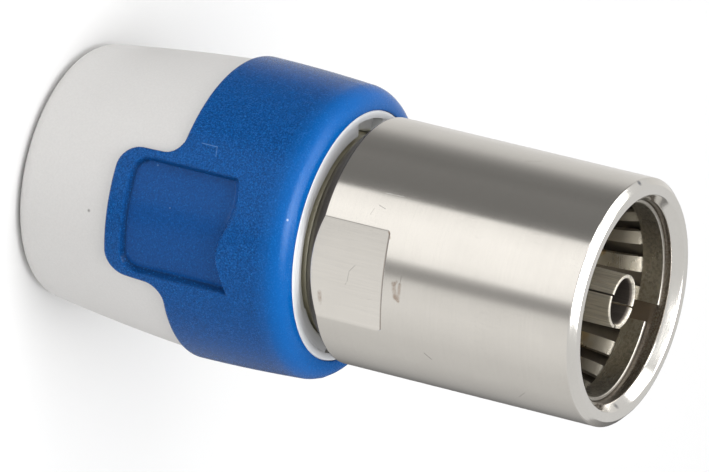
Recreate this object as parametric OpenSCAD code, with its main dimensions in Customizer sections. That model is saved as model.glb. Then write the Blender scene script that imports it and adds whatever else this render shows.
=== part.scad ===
// Inline coaxial aerial socket with a screw-on cable clamp cap.
// It stands on the rear face of its cap: z = 0 is that face, +Z runs along
// the axis to the open socket, and the grip tongues face -Y and +Y.

/* [Overall] */
// Overall length, rear face to socket rim
total_l = 32.5; // [32.3:0.1:32.9]
// Length of the cap, rear face to front ring
cap_l = 16.4; // [16.3:0.05:16.5]

/* [Shell] */
// Outer diameter of the metal shell
shell_d = 13; // [12.9:0.1:13.3]
// Rear end of the shell, above the rear face of the cap
shell_z = 16.55; // [16.55:0.05:16.65]
// Height of the cone at the shell's rear end
shell_cone = 1.05; // [0.95:0.05:1.1]
// Bore of the socket
socket_d = 10.6; // [10.55:0.05:10.7]
// Distance across the two wrench flats
flat_af = 11.85; // [11.7:0.05:12.1]
// Front end of the wrench flats, ahead of the shell's rear end
flat_l = 4.85; // [4.6:0.05:5.1]
// Turn of the metal body against the cap, in degrees
body_turn = 6; // [0:1:12]
// Bevel on the outer edge of the socket rim
rim_bevel = 0.35; // [0.25:0.05:0.45]
// Width of the flat ring on the socket rim
rim_flat = 0.47; // [0.35:0.01:0.5]

/* [Contact spring] */
// Front edge of the spring behind the rim
spring_back = 0.9; // [0.7:0.1:1.2]
// Thickness of the spring sheet
spring_t = 0.2; // [0.15:0.05:0.25]
// Inward bow of the spring fingers
spring_bow = 0.42; // [0.3:0.02:0.5]
// Number of windows around the spring
spring_n = 20; // [16:1:22]
// Width of a window
window_w = 0.75; // [0.6:0.05:0.8]
// Width of the open seam
seam_w = 1.0; // [0.8:0.05:1.1]
// Place of the seam around the axis, in degrees
seam_at = 75; // [68:1:82]

/* [Centre contact] */
// Tip of the contact tube behind the rim
tube_back = 0.55; // [0.4:0.05:0.7]
// Outer diameter of the contact tube
tube_d = 2.9; // [2.8:0.05:3.0]
// Bore for the plug's pin
pin_bore_d = 2.4; // [2.38:0.02:2.44]
// Depth of the pin bore
pin_bore_l = 8.2; // [7.6:0.1:8.2]
// Width of the four slits
slit_w = 0.15; // [0.12:0.01:0.2]
// Length of the slits
slit_l = 6.5; // [5:0.1:7]
// Turn of the slits about the axis, in degrees
slit_at = 70; // [0:1:89]

/* [Cap] */
// Radius of the cap just ahead of its rear rounding
cap_r0 = 6.8; // [6.7:0.05:6.9]
// Radius of the cap where the grip begins
cap_r1 = 7.72; // [7.65:0.01:7.75]
// Cable hole in the rear wall
cable_d = 7.4; // [7.2:0.1:7.6]
// Thickness of the rear wall
wall_t = 1.6; // [1.5:0.1:1.8]
// Width of the two notches in the front ring
notch_w = 2.6; // [2.2:0.1:4.2]
// Depth of the two notches
notch_t = 0.55; // [0.4:0.05:0.7]

/* [Grip] */
// Rear edge of the grip collar
grip_z = 9.35; // [9.2:0.05:9.5]
// Largest radius of the grip collar
grip_r = 8.0; // [7.95:0.01:8.05]
// Rounding of the grip's front lip
lip_r = 1.15; // [1.0:0.05:1.2]
// Rear edge of the tongues
tongue_z = 5.87; // [5.7:0.01:6.1]
// Half width of a tongue
tongue_hw = 3.55; // [3.4:0.05:3.7]
// Corner rounding of a tongue
tongue_r = 1.3; // [1.0:0.1:1.5]
// Fillet between tongue and collar
tongue_f = 1.0; // [0.6:0.1:1.2]
// Half width of a pocket
pocket_hw = 3.0; // [2.8:0.05:3.1]
// Rear edge of a pocket
pocket_z = 7.0; // [6.8:0.1:7.2]
// Rearmost point of a pocket's waved front edge
pocket_z1 = 12.5; // [12:0.1:12.8]
// Height of the wave, trough to crest
wave_h = 0.78; // [0.5:0.02:0.9]
// Length of the wave, crest to crest
wave_l = 5.7; // [5:0.1:6.5]
// Place of the wave's trough beside the middle of the pocket
wave_x = 1.0; // [0:0.1:1.5]
// Radius of the pocket floor
pocket_floor = 7.45; // [7.4:0.01:7.5]

/* [Clamp] */
// Outer diameter of the threaded neck
thread_d = 10.6; // [10.5:0.05:10.6]
// Rear end of the threaded neck
neck_z = 10.0; // [9.9:0.1:10.1]
// Outer diameter of the braid post
post_d = 5.3; // [5.2:0.05:5.4]
// Bore of the braid post
post_bore_d = 4.7; // [4.6:0.05:4.8]
// Inner diameter of the clamp collet
collet_d = 8.0; // [7.9:0.05:8.1]
// Number of slots in the collet
collet_n = 6; // [4:1:8]

/* [Hidden] */
$fn = 96;

shell_r = shell_d / 2;
sock_r = socket_d / 2;
rim_z = total_l;
seat_z = 24.0;                 // rear end of the socket bore
rib_z = 22.6;                  // rear face of the rib behind it
disc_z = 20.6;                 // rear face of the insulator disc
neck_r = thread_d / 2;
bore_fit = 0.05;               // running clearance of the cap on the neck
skin = 0.02;                   // joint line between cap and grip
grip_in = 6.6;                 // radius of the cap under the grip

nickel = [0.80, 0.78, 0.74];
spring_grey = [0.66, 0.64, 0.58];
ivory = [0.90, 0.88, 0.80];
white = [0.86, 0.85, 0.83];
blue = [0.08, 0.35, 0.67];
black = [0.10, 0.10, 0.10];

// Ring of revolution from a list of [radius, height] points
module turned(pts) { rotate_extrude() polygon(pts); }

// A flat outline in x and height, driven through the part from -Y to +Y
module through_y() { rotate([90, 0, 0]) linear_extrude(height = 24, center = true) children(); }

// ---- metal body -----------------------------------------------------------

module outer_shell() {
    flat_r = shell_r - rim_bevel - rim_flat;
    color(nickel) rotate([0, 0, body_turn]) difference() {
        turned([[sock_r + 0.02, shell_z], [shell_r - shell_cone, shell_z], [shell_r, shell_z + shell_cone],
                [shell_r, rim_z - rim_bevel], [shell_r - rim_bevel, rim_z], [flat_r, rim_z],
                [sock_r, rim_z - 0.5], [sock_r, seat_z], [4.6, seat_z], [4.6, rib_z],
                [sock_r + 0.02, rib_z]]);
        for (s = [0, 180]) rotate([0, 0, s])
            translate([-5, -flat_af / 2 - 3, shell_z - 1]) cube([10, 3, flat_l + 1]);
    }
}

// Distance of the spring sheet's outer face from the axis along its length
spring_z0 = seat_z + 0.05;
spring_z1 = rim_z - spring_back;
spring_ro = sock_r - 0.02;
bow_z0 = spring_z0 + 0.8;
bow_z1 = spring_z1 - 1.2;
bow_n = 14;
function bow_at(z) = z <= bow_z0 || z >= bow_z1 ? spring_ro :
    spring_ro - spring_bow * (1 - cos(360 * (z - bow_z0) / (bow_z1 - bow_z0))) / 2;
bow_zs = concat([spring_z0], [for (i = [0 : bow_n]) bow_z0 + (bow_z1 - bow_z0) * i / bow_n], [spring_z1]);

module window() {
    translate([3.6, -window_w / 2, bow_z0]) cube([2.4, window_w, bow_z1 - bow_z0]);
}

module contact_spring() {
    nz = len(bow_zs);
    color(spring_grey) rotate([0, 0, seam_at]) difference() {
        turned(concat([for (i = [0 : nz - 1]) [bow_at(bow_zs[i]), bow_zs[i]]],
                      [for (i = [nz - 1 : -1 : 0]) [bow_at(bow_zs[i]) - spring_t, bow_zs[i]]]));
        for (i = [1 : spring_n - 1]) rotate([0, 0, 360 * i / spring_n]) window();
        translate([3.6, -seam_w / 2, spring_z0 - 1]) cube([2.4, seam_w, 10]);
    }
}

module centre_contact() {
    tr = tube_d / 2;
    pr = pin_bore_d / 2;
    z1 = rim_z - tube_back;
    z0 = z1 - pin_bore_l;
    color(spring_grey) difference() {
        turned([[0.6, 18.1], [0.95, 18.1], [1.2, 18.35], [1.2, disc_z], [tr, disc_z],
                [tr, z1 - 0.1], [tr - 0.06, z1], [pr + 0.12, z1], [pr, z1 - 0.2], [pr, z0], [0, z0 - 0.5],
                [0, 22.3], [0.6, 22.0]]);
        for (s = [0, 90]) rotate([0, 0, slit_at + s])
            translate([-3, -slit_w / 2, z1 - slit_l]) cube([6, slit_w, slit_l + 1]);
    }
}

module contact_insulator() {
    color(ivory) turned([[tube_d / 2 + 0.02, disc_z], [sock_r - 0.02, disc_z],
        [sock_r - 0.02, rib_z - 0.02], [4.55, rib_z - 0.02], [4.55, rib_z + 0.5], [2.6, rib_z + 0.5],
        [2.4, 24.4], [tube_d / 2 + 0.02, 24.4]]);
}

module wire_guide() {
    color(ivory) turned([[2.3, 16.05], [3.15, 16.05], [3.15, disc_z - 0.05], [1.25, disc_z - 0.05],
        [1.25, 18.05], [0.75, 18.05], [0.75, 17.7]]);
}

module threaded_neck() {
    color(nickel) rotate([0, 0, body_turn]) turned([
        [4.66, neck_z], [neck_r - 0.35, neck_z], [neck_r, neck_z + 0.4],
        [neck_r, disc_z - 0.02], [3.2, disc_z - 0.02], [3.2, 15.0], [post_d / 2 + 0.01, 15.0],
        [post_d / 2 + 0.01, 13.2], [4.0, 13.2], [4.0, neck_z + 1.8]]);
}

module braid_post() {
    pi_r = post_bore_d / 2;
    po_r = post_d / 2;
    color(nickel) turned([[pi_r, 5.2], [po_r - 0.15, 5.2], [po_r + 0.25, 6.2], [po_r, 6.25],
        [po_r, 15.02], [3.15, 15.02], [3.15, 16.0], [pi_r, 16.0]]);
}

// ---- clamp ----------------------------------------------------------------

module clamp_collet() {
    ci = collet_d / 2;
    color(ivory) difference() {
        turned([[ci, 4.22], [5.3, 4.22], [5.3, 5.2], [4.75, 5.4], [4.75, 9.4], [4.35, 10.5], [ci, 10.5],
                [ci, 10.1], [ci - 0.15, 9.95], [ci, 9.8], [ci, 9.3], [ci - 0.15, 9.15], [ci, 9.0],
                [ci, 8.5], [ci - 0.15, 8.35], [ci, 8.2]]);
        for (i = [0 : collet_n - 1]) rotate([0, 0, 360 * (i + 0.5) / collet_n])
            translate([2.5, -0.4, 6.3]) cube([3, 0.8, 5]);
    }
}

module thrust_washer() {
    color(nickel) turned([[4.1, 3.7], [5.25, 3.7], [5.3, 3.75], [5.3, 4.15], [5.25, 4.2], [4.1, 4.2]]);
}

// ---- cap ------------------------------------------------------------------

// Outer radius of the white cap ahead of its rear rounding: a shallow barrel
function cap_at(z) = let (t = (z - 1) / (grip_z - 1)) cap_r0 + (cap_r1 - cap_r0) * (1.35 * t - 0.35 * t * t);

// Outer radius of the grip: follows the cap on the tongues, then a slight barrel
function grip_at(z) = z <= grip_z ? cap_at(z) + grip_r - cap_r1 :
    grip_r - 0.21 * pow((z - grip_z) / (cap_l - lip_r - grip_z), 2);

module collar_outline(g) {
    hw = tongue_hw + g;
    z0 = tongue_z - g;
    translate([-12, grip_z - g]) square([24, 9]);
    translate([-hw, z0 + tongue_r]) square([2 * hw, grip_z - z0 - tongue_r]);
    translate([-hw + tongue_r, z0]) square([2 * (hw - tongue_r), 2 * tongue_r]);
    for (s = [-1, 1]) {
        translate([s * (hw - tongue_r), z0 + tongue_r]) circle(r = tongue_r);
        difference() {
            translate([s > 0 ? hw - 0.2 : -hw - tongue_f, grip_z - g - tongue_f])
                square([tongue_f + 0.2, tongue_f + 0.1]);
            translate([s * (hw + tongue_f), grip_z - g - tongue_f]) circle(r = tongue_f);
        }
    }
}

// Front edge of a pocket across its width: one wave
function wave_at(x) = pocket_z1 + wave_h * (1 - cos(360 * (x - wave_x) / wave_l)) / 2;

module pocket_outline() {
    r = 0.8;
    n = 32;
    hw = pocket_hw + 0.5;
    intersection() {
        union() {
            translate([-pocket_hw, pocket_z + r]) square([2 * pocket_hw, 7]);
            translate([-pocket_hw + r, pocket_z]) square([2 * (pocket_hw - r), 2 * r]);
            for (s = [-1, 1]) translate([s * (pocket_hw - r), pocket_z + r]) circle(r = r);
        }
        polygon(concat([[-hw, pocket_z - 1], [hw, pocket_z - 1]],
            [for (i = [n : -1 : 0]) let (x = hw * (2 * i / n - 1)) [x, wave_at(x)]]));
    }
}

module cable_seal() {
    color(black) turned([[4.0, wall_t + 0.05], [5.4, wall_t + 0.05], [5.4, 3.2], [5.1, 3.5],
        [4.2, 3.5], [4.0, 3.3]]);
}

module cap_sleeve() {
    nseg = 12;
    rr = 1.0;
    cr = cable_d / 2;
    mouth = cap_l - 0.5;
    color(white) difference() {
        turned(concat(
            [[cr + 0.4, 0]],
            [for (i = [0 : 8]) [cap_r0 - rr + rr * sin(90 * i / 8), rr - rr * cos(90 * i / 8)]],
            [for (i = [1 : nseg]) let (z = 1 + (grip_z - 1) * i / nseg) [cap_at(z), z]],
            [[cap_r1, grip_z + 0.3], [grip_in, grip_z + 0.3], [grip_in, cap_l - 0.15], [grip_in - 0.15, cap_l],
             [5.65, cap_l], [5.5, cap_l - 0.15], [5.5, mouth], [neck_r + bore_fit, mouth - 0.2],
             [neck_r + bore_fit, 9.6], [5.5, 9.4], [5.5, wall_t], [cr, wall_t], [cr, 0.4]]));
        intersection() {
            turned([[grip_in, 4], [10, 4], [10, 20], [grip_in, 20]]);
            through_y() collar_outline(skin);
        }
        for (s = [0, 180]) rotate([0, 0, s])
            translate([5.0, -notch_w / 2, cap_l - notch_t]) cube([1.15, notch_w, 2]);
    }
}

module grip_collar() {
    n0 = 6;
    n1 = 8;
    nl = 8;
    lz = cap_l - lip_r;
    lr = grip_at(lz) - lip_r;
    gi = grip_in + skin;
    color(blue) difference() {
        intersection() {
            turned(concat(
                [[gi, tongue_z - 1]],
                [for (i = [0 : n0]) let (z = tongue_z - 1 + (grip_z - tongue_z + 1) * i / n0) [grip_at(z), z]],
                [for (i = [1 : n1]) let (z = grip_z + (lz - grip_z) * i / n1) [grip_at(z), z]],
                [for (i = [1 : nl]) [lr + lip_r * cos(90 * i / nl), lz + lip_r * sin(90 * i / nl)]],
                [[gi, cap_l]]));
            through_y() collar_outline(0);
        }
        for (s = [0, 180]) rotate([0, 0, s]) intersection() {
            rotate([90, 0, 0]) linear_extrude(height = 12) pocket_outline();
            turned([[pocket_floor, 6], [10, 6], [10, 15], [pocket_floor, 15]]);
        }
    }
}

outer_shell();
contact_spring();
centre_contact();
contact_insulator();
wire_guide();
threaded_neck();
braid_post();
clamp_collet();
thrust_washer();
cable_seal();
cap_sleeve();
grip_collar();
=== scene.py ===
import math

import bpy
import numpy as np
from mathutils import Matrix, Vector


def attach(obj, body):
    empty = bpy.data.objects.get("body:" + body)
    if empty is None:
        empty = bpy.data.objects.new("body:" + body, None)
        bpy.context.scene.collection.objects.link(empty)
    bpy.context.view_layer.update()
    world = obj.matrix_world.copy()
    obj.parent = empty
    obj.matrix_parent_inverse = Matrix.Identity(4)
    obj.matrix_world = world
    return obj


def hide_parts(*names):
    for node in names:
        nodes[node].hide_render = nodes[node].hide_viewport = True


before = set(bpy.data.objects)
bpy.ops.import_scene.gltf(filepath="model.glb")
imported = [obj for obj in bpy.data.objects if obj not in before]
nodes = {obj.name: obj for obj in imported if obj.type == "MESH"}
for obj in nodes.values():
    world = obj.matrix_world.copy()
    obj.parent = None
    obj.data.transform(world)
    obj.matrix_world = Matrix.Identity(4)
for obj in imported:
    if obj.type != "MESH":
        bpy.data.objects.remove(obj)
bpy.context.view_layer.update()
MM = 0.001
D2R = math.pi / 180.0

# ---------------------------------------------------------------------------
# sizes, in millimetres, as in the construction
# ---------------------------------------------------------------------------
TOTAL_L = 32.5
CAP_L = 16.4
SHELL_Z = 16.55
SHELL_R = 6.5
CONE_R = 5.45
FLAT_D = 5.925
FLAT_Z1 = 21.4
SOCK_R = 5.3
GRIP_Z = 9.35
GRIP_R = 8.0
GRIP_IN = 6.6
CAP_R0, CAP_R1 = 6.8, 7.72
LIP_R = 1.15
TONGUE_Z, TONGUE_HW, TONGUE_R, TONGUE_F = 5.87, 3.62, 1.3, 1.0
POCKET_HW, POCKET_Z, POCKET_Z1, POCKET_FLOOR = 3.06, 7.0, 12.5, 7.45
WAVE_H, WAVE_L, WAVE_S = 0.78, 5.8, 1.0
BODY_TURN = 6.0
NEAR = -102.3          # side of the part that faces the camera, degrees about +Z


def cap_at(z):
    t = (z - 1.0) / (GRIP_Z - 1.0)
    return CAP_R0 + (CAP_R1 - CAP_R0) * (1.35 * t - 0.35 * t * t)


def grip_at(z):
    z = np.asarray(z, float)
    low = cap_at(z) + GRIP_R - CAP_R1
    high = GRIP_R - 0.21 * ((z - GRIP_Z) / (CAP_L - LIP_R - GRIP_Z)) ** 2
    return np.where(z <= GRIP_Z, low, high)


# ---------------------------------------------------------------------------
# mesh helpers
# ---------------------------------------------------------------------------
def make_object(name, verts, faces, sharp=32.0):
    """A mesh object from points in millimetres, smooth shaded with its real corners kept sharp."""
    me = bpy.data.meshes.new(name)
    me.from_pydata([tuple(v) for v in (np.asarray(verts) * MM)], [], faces)
    me.validate()
    me.update()
    for p in me.polygons:
        p.use_smooth = True
    me.set_sharp_from_angle(angle=sharp * D2R)
    ob = bpy.data.objects.new(name, me)
    bpy.context.scene.collection.objects.link(ob)
    return ob


def cyl(r, phi, z):
    """Points from radius, angle in degrees and height."""
    r, phi, z = np.broadcast_arrays(np.asarray(r, float), np.asarray(phi, float), np.asarray(z, float))
    return np.stack([r * np.cos(phi * D2R), r * np.sin(phi * D2R), z], -1)


def revolve(name, pts, phis, shape=None, sharp=32.0):
    """A closed ring: pts is a closed loop of (r, z), counter-clockwise in the (r, z) plane.
    shape(r, z, phi, index) may change r and z of the grid."""
    pts = np.asarray(pts, float)
    phis = np.asarray(phis, float)
    n, m = len(pts), len(phis)
    r = np.repeat(pts[:, :1], m, 1)
    z = np.repeat(pts[:, 1:], m, 1)
    ph = np.repeat(phis[None], n, 0)
    if shape is not None:
        r, z = shape(r, z, ph, np.arange(n))
    v = cyl(r, ph, z).reshape(-1, 3)
    faces = []
    for i in range(n):
        i2 = (i + 1) % n
        for j in range(m):
            j2 = (j + 1) % m
            faces.append((i * m + j, i * m + j2, i2 * m + j2, i2 * m + j))
    return make_object(name, v, faces, sharp)


def wall_grid(name, outer, inner, keep, wrap=True, sharp=32.0):
    """A closed solid from two matching grids [row][column][3]; keep says which cells are there."""
    n, m = outer.shape[:2]
    cells = m if wrap else m - 1
    verts = np.concatenate([outer.reshape(-1, 3), inner.reshape(-1, 3)])
    off = n * m
    faces = []
    idx = lambda i, j: i * m + (j % m)
    for i in range(n - 1):
        for j in range(cells):
            if not keep[i, j]:
                continue
            a, b, c, d = idx(i, j), idx(i, j + 1), idx(i + 1, j + 1), idx(i + 1, j)
            faces.append((a, b, c, d))
            faces.append((off + d, off + c, off + b, off + a))
            if i == 0 or not keep[i - 1, j]:
                faces.append((off + a, off + b, b, a))
            if i == n - 2 or not keep[i + 1, j]:
                faces.append((d, c, off + c, off + d))
            jl, jr = j - 1, j + 1
            if wrap:
                jl, jr = jl % cells, jr % cells
            if jl < 0 or not keep[i, jl]:
                faces.append((a, d, off + d, off + a))
            if jr >= cells or not keep[i, jr]:
                faces.append((c, b, off + b, off + c))
    used = np.zeros(len(verts), bool)
    for f in faces:
        used[list(f)] = True
    new = np.cumsum(used) - 1
    faces = [tuple(int(new[k]) for k in f) for f in faces]
    return make_object(name, verts[used], faces, sharp)


def arc(cr, cz, rad, a0, a1, n):
    """Points (r, z) on a small arc, angles in degrees."""
    return [(cr + rad * math.cos(a * D2R), cz + rad * math.sin(a * D2R)) for a in np.linspace(a0, a1, n)]


def smooth(a, b, x):
    t = np.clip((x - a) / (b - a), 0.0, 1.0)
    return t * t * (3 - 2 * t)


def spaced(parts):
    """Joins stretches (start, end, step) into one rising list."""
    out = []
    for a, b, step in parts:
        k = max(1, int(round((b - a) / step)))
        out += list(a + (b - a) * np.arange(k) / k)
    out.append(parts[-1][1])
    return np.array(out)


# ---------------------------------------------------------------------------
# outlines of the grip, in arc length s around the part and height z
# ---------------------------------------------------------------------------
REF_R = 7.9


def round_box(e1, e2, r):
    inside = np.minimum(e1, e2)
    corner = r - np.hypot(np.maximum(r - e1, 0), np.maximum(r - e2, 0))
    return np.where((e1 < r) & (e2 < r), corner, inside)


def grip_edge(s, z):
    """Distance inside the grip's outline: collar and tongue with their fillets."""
    d1 = z - GRIP_Z
    d2 = round_box(TONGUE_HW - np.abs(s), z - TONGUE_Z, TONGUE_R)
    f = TONGUE_F
    fil = np.hypot(d1 + f, d2 + f) - f
    return np.where((d1 > -f) & (d2 > -f), fil, np.maximum(d1, d2))


def wave_edge(s, z):
    """Distance behind the pocket's waved front edge."""
    a = 2 * math.pi * (s - WAVE_S) / WAVE_L
    slope = WAVE_H * math.pi / WAVE_L * np.sin(a)
    return (POCKET_Z1 + 0.5 * WAVE_H * (1 - np.cos(a)) - z) / np.sqrt(1 + slope * slope)


def pocket_edge(s, z):
    """Distance inside the finger pocket's outline."""
    p = round_box(POCKET_HW - np.abs(s), z - POCKET_Z, 0.8)
    return np.minimum(p, wave_edge(s, z))


def fold_s(phi):
    """Arc length from the nearer tongue's middle; the tongues face -Y and +Y."""
    d = (np.asarray(phi) + 90.0 + 90.0) % 180.0 - 90.0
    return d * D2R * REF_R


# ---------------------------------------------------------------------------
# blue grip collar
# ---------------------------------------------------------------------------
def build_grip():
    span = 36.0
    side = list(spaced([(-span, -34.0, 0.6), (-34.0, -14.5, 0.34), (-14.5, 14.5, 0.9), (14.5, 34.0, 0.34), (34.0, span, 0.6)])[:-1])
    gap = list(np.linspace(span, 180.0 - span, 61)[:-1])
    phis = np.array([(-90 + a) for a in side] + [(-90 + a) for a in gap]
                    + [(90 + a) for a in side] + [(90 + a) for a in gap])
    zs = spaced([(5.55, 7.9, 0.052), (7.9, 9.7, 0.075), (9.7, 12.2, 0.15), (12.2, 13.5, 0.06), (13.5, CAP_L - LIP_R, 0.29)])
    lz = CAP_L - LIP_R
    lr = float(grip_at(lz)) - LIP_R
    lip = arc(lr, lz, LIP_R, 0, 90, 16)[1:-1] + [(lr + 0.03, CAP_L - 0.002), (lr - 0.0, CAP_L - 0.02)]
    z = np.concatenate([zs, [p[1] for p in lip]])
    base = np.concatenate([grip_at(zs), [p[0] for p in lip]])
    n, m = len(z), len(phis)
    Z = np.repeat(z[:, None], m, 1)
    PH = np.repeat(phis[None], n, 0)
    S = fold_s(PH)
    nz = len(zs)
    # rows and columns slide a little so that mesh lines lie on the outlines
    for _ in range(2):
        h = 1e-3
        for fn, levels in ((grip_edge, (0.0, 0.22)), (pocket_edge, (-0.12, -0.05, 0.03))):
            d = fn(S, Z)
            gs = (fn(S + h, Z) - fn(S - h, Z)) / (2 * h)
            gz = (fn(S, Z + h) - fn(S, Z - h)) / (2 * h)
            gn = np.maximum(gs * gs + gz * gz, 1e-9)
            # less than half a cell, so that two lines never land on one
            reach = 0.0235 + 0.0023 * gz * gz / gn
            for lv in levels:
                near = (np.abs(d - lv) < reach) & (np.abs(S) < 5.2)
                near[nz - 1:] = False
                near[0] = False
                S = np.where(near, S - (d - lv) * gs / gn, S)
                Z = np.where(near, Z - (d - lv) * gz / gn, Z)
    PH = PH + (S - fold_s(PH)) / REF_R / D2R
    R = np.where(np.arange(n)[:, None] < nz, grip_at(Z), base[:, None])
    d = grip_edge(S, Z)
    rr = 0.22
    drop = np.where(d >= rr, 0.0, rr - np.sqrt(np.maximum(rr * rr - (rr - np.clip(d, 0, rr)) ** 2, 0)))
    drop = np.where(d < 0, rr + 7.0 * (-d), drop)
    p = pocket_edge(S, Z)
    deep = np.interp(p, [-0.12, -0.05, 0.03, 0.10], [0.0, 0.12, 0.97, 1.0])
    # the front edge runs out softly towards one corner
    ease = smooth(-0.2, -1.7, S)
    deep = deep * (1 - ease + ease * smooth(-0.12, 0.42, wave_edge(S, Z)))
    floor = POCKET_FLOOR + 0.0 * Z
    R = R - (R - floor) * deep * (np.arange(n)[:, None] < nz)
    R = R - drop
    # faint mould line across the lip, a quarter turn from the tongues
    q = np.abs(((PH + 90.0) % 180.0) - 90.0)
    R = R + 0.018 * np.exp(-(q / 0.55) ** 2) * smooth(13.4, 14.8, Z)
    R = np.maximum(R, GRIP_IN + 0.06)
    keep_v = d > -0.22
    keep = keep_v[:-1] & keep_v[1:]
    keep = keep & np.roll(keep, -1, 1)
    outer = cyl(R, PH, Z)
    inner = cyl(np.full_like(R, GRIP_IN + 0.02), PH, Z)
    ob = wall_grid("grip_collar_moulded", outer, inner, keep, True, 40.0)
    # for the material: the pocket's floor, painted shade in the corner along its rear and side walls and beside its
    # waved front edge, and painted shade along the outline
    v = np.array([q.co for q in ob.data.vertices]) / MM
    s = fold_s(np.degrees(np.arctan2(v[:, 1], v[:, 0])))
    box = round_box(POCKET_HW - np.abs(s), v[:, 2] - POCKET_Z, 0.8)
    inside = pocket_edge(s, v[:, 2])
    out_side = np.hypot(v[:, 0], v[:, 1]) > GRIP_IN + 0.3
    wide = np.where(v[:, 2] < POCKET_Z + 0.6, 0.15, np.where(s < 0, 0.055, 0.13))
    pocket_shade = smooth(-0.15, -0.09, box) * smooth(wide, 0.35 * wide, box) * smooth(-0.10, 0.02, inside) * out_side
    pocket_shade = pocket_shade * np.where((s < -2.6) & (v[:, 2] > POCKET_Z + 0.6), 0.75, 1.0)
    front = wave_edge(s, v[:, 2])
    shade = 0.34 * smooth(0.75, 0.05, front) * smooth(-0.02, 0.03, inside) * np.exp(-((s + 0.5) / 0.85) ** 2)
    pocket_shade = np.maximum(pocket_shade, shade * out_side)
    bed = smooth(0.0, 0.12, inside) * out_side
    rim = smooth(0.12, 0.02, grip_edge(s, v[:, 2])) * out_side
    for name, val in (("pocket_shade", pocket_shade), ("bed", bed), ("rim", rim)):
        at = ob.data.attributes.new(name, "FLOAT", "POINT")
        at.data.foreach_set("value", val.astype(np.float32))
    return ob


# ---------------------------------------------------------------------------
# white cap
# ---------------------------------------------------------------------------
NOTCH_HALF = 12.5


def build_cap():
    phis = []
    for k in (0, 1):
        base = 180.0 * k
        side = NOTCH_HALF + np.array([-0.15, 0.0, 0.3, 0.6, 0.9])
        phis += list(base - side[::-1])
        phis += list(base + np.linspace(0.5 - NOTCH_HALF, NOTCH_HALF - 0.5, 18))
        phis += list(base + side)
        gap = list(np.linspace(NOTCH_HALF + 2.5, 180.0 - NOTCH_HALF - 2.5, 114))
        if k == 1:
            # two columns on the small step in the ring
            step = [NEAR + 49.8 + 360.0 - 180.0, NEAR + 50.6 + 360.0 - 180.0]
            gap = sorted([g for g in gap if min(abs(g - q) for q in step) > 0.35] + step)
        phis += list(base + np.array(gap))
    pts = []
    cr = 3.7
    tag = []

    def add(ps, t):
        for q in ps:
            pts.append(q)
            tag.append(t)
    add([(cr, 1.6), (cr, 1.1), (cr, 0.5)], 0)
    add(arc(cr + 0.4, 0.4, 0.4, 180, 270, 6), 0)
    add([(4.8, 0.0), (5.4, 0.0)], 0)
    add(arc(CAP_R0 - 1.0, 1.0, 1.0, 270, 360, 14), 0)
    zs = spaced([(1.25, 5.2, 0.26), (5.2, 10.1, 0.14)])
    add([(cap_at(z) if z < GRIP_Z else CAP_R1, z) for z in zs], 1)
    add([(GRIP_IN, 10.3), (GRIP_IN, 13.0), (GRIP_IN, 16.0)], 0)
    add(arc(GRIP_IN - 0.11, CAP_L - 0.11, 0.11, 0, 90, 6), 0)
    add([(6.40, CAP_L), (6.32, CAP_L), (6.20, CAP_L)], 0)
    add([(6.18, CAP_L - 0.008), (6.155, CAP_L - 0.03)], 2)
    add([(6.1, CAP_L - 0.03), (5.95, CAP_L - 0.025)], 2)
    add([(5.91, CAP_L - 0.02), (5.88, CAP_L - 0.02)], 2)
    add([(5.7, CAP_L - 0.015)], 4)
    add(arc(5.55, CAP_L - 0.10, 0.085, 90, 180, 4), 4)
    add([(5.46, 16.0)], 3)
    add([(5.46, 15.7), (5.36, 15.5), (5.36, 9.6), (5.5, 9.4), (5.5, 5.0), (5.5, 1.6)], 0)
    tag = np.array(tag)

    def shape(r, z, ph, idx):
        s = fold_s(ph)
        d = grip_edge(s, z)
        under = smooth(0.10, 0.24, d)
        t = tag[:, None] + 0 * r
        r = np.where(t == 1, r - (r - GRIP_IN) * under, r)
        q = np.abs(((ph + 90.0) % 180.0) - 90.0)
        inn = smooth(NOTCH_HALF + 0.45, NOTCH_HALF - 0.05, q)
        z = np.where((t == 2) | (t == 4), z - 0.55 * inn, z)
        z = np.where(t == 3, z - 0.25 * inn, z)
        # the inner half of the ring lies a hair lower on the camera side and ends in a small step
        th = (NEAR - ph + 180.0) % 360.0 - 180.0
        low = smooth(-50.6, -49.8, th) * smooth(34.0, 2.0, th)
        z = np.where(t == 4, z - 0.06 * low, z)
        return r, z
    return revolve("cap_sleeve_moulded", pts, phis, shape, 38.0)


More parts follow.
